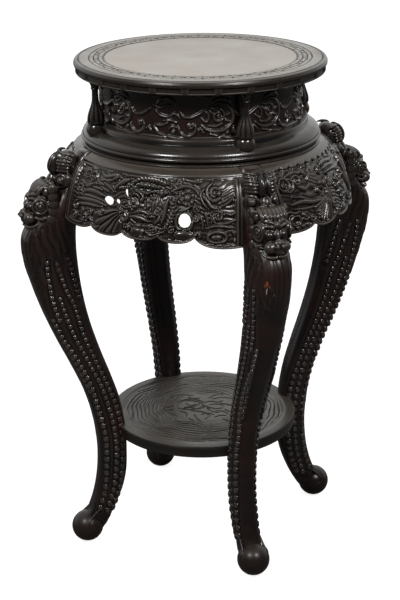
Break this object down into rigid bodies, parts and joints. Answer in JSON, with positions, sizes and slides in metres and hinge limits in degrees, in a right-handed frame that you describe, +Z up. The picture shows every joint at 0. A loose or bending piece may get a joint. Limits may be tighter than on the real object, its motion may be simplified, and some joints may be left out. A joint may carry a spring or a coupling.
{
  "type": "pedestal",
  "caption": "Round carved hardwood pedestal with a framed top, pierced dragon aprons, cabriole legs with beast heads on ball feet, and a lower shelf.",
  "frame": {"origin": "on the floor, at the centre of the feet", "axes": "+Z up; the legs stand on the diagonals between +X and +Y, and the aprons face along +X, +Y, -X and -Y"},
  "size_m": [0.495, 0.495, 0.827],
  "materials": {
    "ebonised_wood": "near-black stained and lacquered hardwood, satin gloss",
    "top_panel_wood": "polished dark brown inset panel",
    "inner_wood": "unfinished secondary wood inside the joints"
  },
  "bodies": {
    "root": {"top_panel": "top_panel_wood", "top_frame_quarter_1": "ebonised_wood", "top_frame_quarter_2": "ebonised_wood", "top_frame_quarter_3": "ebonised_wood", "top_frame_quarter_4": "ebonised_wood", "top_frame_spline_1": "inner_wood", "top_frame_spline_2": "inner_wood", "top_frame_spline_3": "inner_wood", "top_frame_spline_4": "inner_wood", "top_batten_left": "inner_wood", "top_batten_right": "inner_wood", "waist_panel_1": "ebonised_wood", "waist_panel_2": "ebonised_wood", "waist_panel_3": "ebonised_wood", "waist_panel_4": "ebonised_wood", "waist_drop_1": "ebonised_wood", "waist_drop_2": "ebonised_wood", "waist_drop_3": "ebonised_wood", "waist_drop_4": "ebonised_wood", "collar_quarter_1": "ebonised_wood", "collar_quarter_2": "ebonised_wood", "collar_quarter_3": "ebonised_wood", "collar_quarter_4": "ebonised_wood", "collar_dowel_1": "inner_wood", "collar_dowel_2": "inner_wood", "collar_dowel_3": "inner_wood", "collar_dowel_4": "inner_wood", "apron_1": "ebonised_wood", "apron_2": "ebonised_wood", "apron_3": "ebonised_wood", "apron_4": "ebonised_wood", "leg_1": "ebonised_wood", "leg_2": "ebonised_wood", "leg_3": "ebonised_wood", "leg_4": "ebonised_wood", "shelf": "ebonised_wood", "shelf_dowel_1": "inner_wood", "shelf_dowel_2": "inner_wood", "shelf_dowel_3": "inner_wood", "shelf_dowel_4": "inner_wood"}
  },
  "joints": []
}
